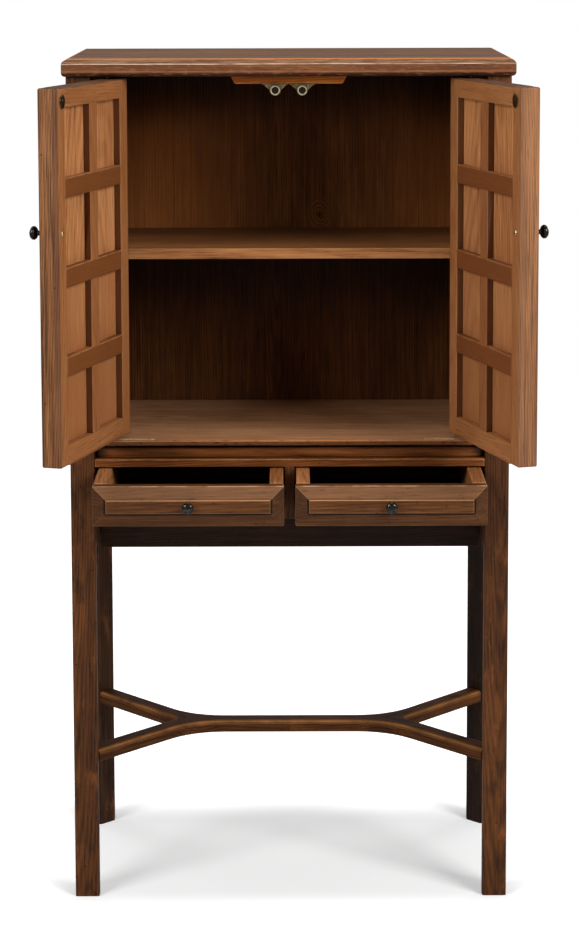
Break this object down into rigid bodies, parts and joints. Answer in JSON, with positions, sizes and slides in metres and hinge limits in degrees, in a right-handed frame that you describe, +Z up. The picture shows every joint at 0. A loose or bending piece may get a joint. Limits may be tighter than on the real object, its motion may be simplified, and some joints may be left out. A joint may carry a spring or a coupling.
{
  "type": "bar cabinet",
  "caption": "Tall wooden bar cabinet on square legs, with framed doors over an inner shelf, a pull-out serving shelf, drawers and a forked stretcher",
  "frame": {"origin": "on the floor, midway across and midway between the open doors' free edges and the back of the top", "axes": "+Z up, -Y to the front where the doors open, +X to the right seen from the front"},
  "size_m": [0.9142, 0.7894, 1.613],
  "materials": {
    "walnut": "worn dark brown stain with a low sheen",
    "walnut_dark": "dark brown stain, shaded faces",
    "honey": "honey brown stain with a low sheen",
    "back_wood": "matt brown stain",
    "brass": "aged brass",
    "dark_metal": "dark bronze"
  },
  "bodies": {
    "frame": {"back_panel": "back_wood", "cabinet_floor": "honey", "catch_block": "honey", "drawer_deck": "walnut", "drawer_divider": "walnut", "drawer_guide": "walnut_dark", "drawer_rail": "walnut", "dust_board": "walnut_dark", "front_apron": "walnut_dark", "front_left_post": "walnut", "front_right_post": "walnut", "inner_shelf": "honey", "lower_pivot_left": "brass", "lower_pivot_right": "brass", "magnet_catch_left": "brass", "magnet_catch_right": "brass", "rear_apron": "walnut_dark", "rear_left_post": "walnut", "rear_right_post": "walnut", "side_panel_left": "walnut", "side_panel_right": "walnut", "stretcher_arm_front_left": "walnut", "stretcher_arm_front_right": "walnut", "stretcher_arm_rear_left": "walnut", "stretcher_arm_rear_right": "walnut", "stretcher_bar": "walnut", "top_board": "walnut", "upper_pivot_left": "brass", "upper_pivot_right": "brass"},
    "door_left": {"bottom_rail_left": "honey", "door_knob_left": "dark_metal", "door_panel_left": "honey", "hinge_stile_left": "honey", "inner_grating_left": "honey", "meeting_stile_left": "honey", "outer_grating_left": "honey", "strike_left": "brass", "top_rail_left": "honey"},
    "door_right": {"bottom_rail_right": "honey", "door_knob_right": "dark_metal", "door_panel_right": "honey", "hinge_stile_right": "honey", "inner_grating_right": "honey", "meeting_stile_right": "honey", "outer_grating_right": "honey", "strike_right": "brass", "top_rail_right": "honey"},
    "drawer_left": {"drawer_back_left": "honey", "drawer_bottom_left": "honey", "drawer_front_left": "walnut", "drawer_knob_left": "dark_metal", "left_drawer_left_side": "honey", "left_drawer_right_side": "honey"},
    "drawer_right": {"drawer_back_right": "honey", "drawer_bottom_right": "honey", "drawer_front_right": "walnut", "drawer_knob_right": "dark_metal", "right_drawer_left_side": "honey", "right_drawer_right_side": "honey"},
    "pull_out_shelf_body": {"pull_out_shelf": "walnut"}
  },
  "joints": [
    {"name": "door_left_hinge", "type": "hinge", "parent": "frame", "child": "door_left", "pos_m": [-0.338, -0.06327, 0.903], "axis": [0, 0, -1], "range_deg": [-106, 39]},
    {"name": "door_right_hinge", "type": "hinge", "parent": "frame", "child": "door_right", "pos_m": [0.338, -0.06327, 0.903], "axis": [0, 0, 1], "range_deg": [-106, 39]},
    {"name": "drawer_left_slide", "type": "slide", "parent": "frame", "child": "drawer_left", "axis": [0, -1, 0], "range_m": [-0.163, 0.137]},
    {"name": "drawer_right_slide", "type": "slide", "parent": "frame", "child": "drawer_right", "axis": [0, -1, 0], "range_m": [-0.163, 0.137]},
    {"name": "pull_out_shelf_slide", "type": "slide", "parent": "frame", "child": "pull_out_shelf_body", "axis": [0, -1, 0], "range_m": [0, 0.28]}
  ]
}
